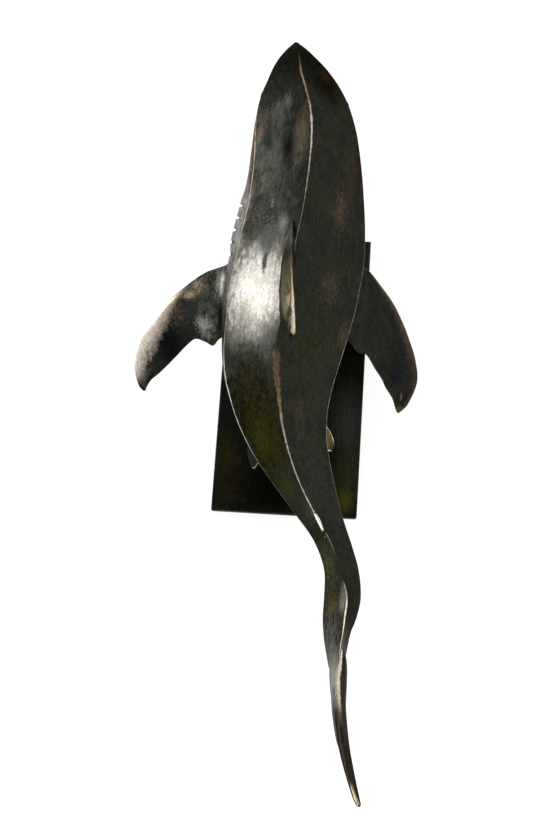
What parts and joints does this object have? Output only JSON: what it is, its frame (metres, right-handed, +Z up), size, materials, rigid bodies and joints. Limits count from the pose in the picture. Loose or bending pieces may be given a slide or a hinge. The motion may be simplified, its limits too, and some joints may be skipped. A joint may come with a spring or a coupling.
{
  "type": "shark sculpture",
  "caption": "Patinated bronze shark with a curved ridged body and swept fins, held by a post above a rectangular plinth; a free-standing table ornament.",
  "frame": {"origin": "the middle of the felt sheet's underside, where the sculpture rests", "axes": "+Z up, +Y towards the shark's nose along the plinth's length, +X to the shark's right"},
  "size_m": [0.2278, 0.5605, 0.229],
  "materials": {
    "body_bronze": "waxed dark brown patina with burnished ridges",
    "fin_bronze": "waxed dark brown patina with burnished edges",
    "plinth_bronze": "waxed near-black patina with olive mottling",
    "post_bronze": "turned and patinated",
    "fitting_bronze": "plain bronze bar and castings, chased where they show",
    "steel": "zinc plated",
    "board_wood": "plain board",
    "felt": "pressed felt"
  },
  "bodies": {
    "root": {"body_shell": "body_bronze", "tail_stock": "body_bronze", "caudal_fin": "body_bronze", "first_dorsal_fin": "fin_bronze", "second_dorsal_fin": "fin_bronze", "anal_fin": "fin_bronze", "pectoral_fin_left": "fin_bronze", "pectoral_fin_right": "fin_bronze", "pelvic_fin_left": "fin_bronze", "pelvic_fin_right": "fin_bronze", "plinth": "plinth_bronze", "support_post": "post_bronze", "post_collar": "post_bronze", "belly_boss": "fitting_bronze", "core_plug_front": "fitting_bronze", "core_plug_rear": "fitting_bronze", "caudal_tenon_pin": "fitting_bronze", "tail_joint_pin_left": "fitting_bronze", "tail_joint_pin_right": "fitting_bronze", "tail_joint_pin_belly": "fitting_bronze", "first_dorsal_fin_dowel_front": "fitting_bronze", "first_dorsal_fin_dowel_rear": "fitting_bronze", "pectoral_fin_left_dowel_front": "fitting_bronze", "pectoral_fin_left_dowel_rear": "fitting_bronze", "pectoral_fin_right_dowel_front": "fitting_bronze", "pectoral_fin_right_dowel_rear": "fitting_bronze", "pelvic_fin_left_dowel_middle": "fitting_bronze", "pelvic_fin_right_dowel_middle": "fitting_bronze", "second_dorsal_fin_dowel_middle": "fitting_bronze", "anal_fin_dowel_middle": "fitting_bronze", "post_stud": "steel", "stud_washer": "steel", "stud_spring_washer": "steel", "stud_nut": "steel", "board_screw_front_left": "steel", "board_screw_front_right": "steel", "board_screw_rear_left": "steel", "board_screw_rear_right": "steel", "base_board": "board_wood", "felt_sheet": "felt"}
  },
  "joints": []
}
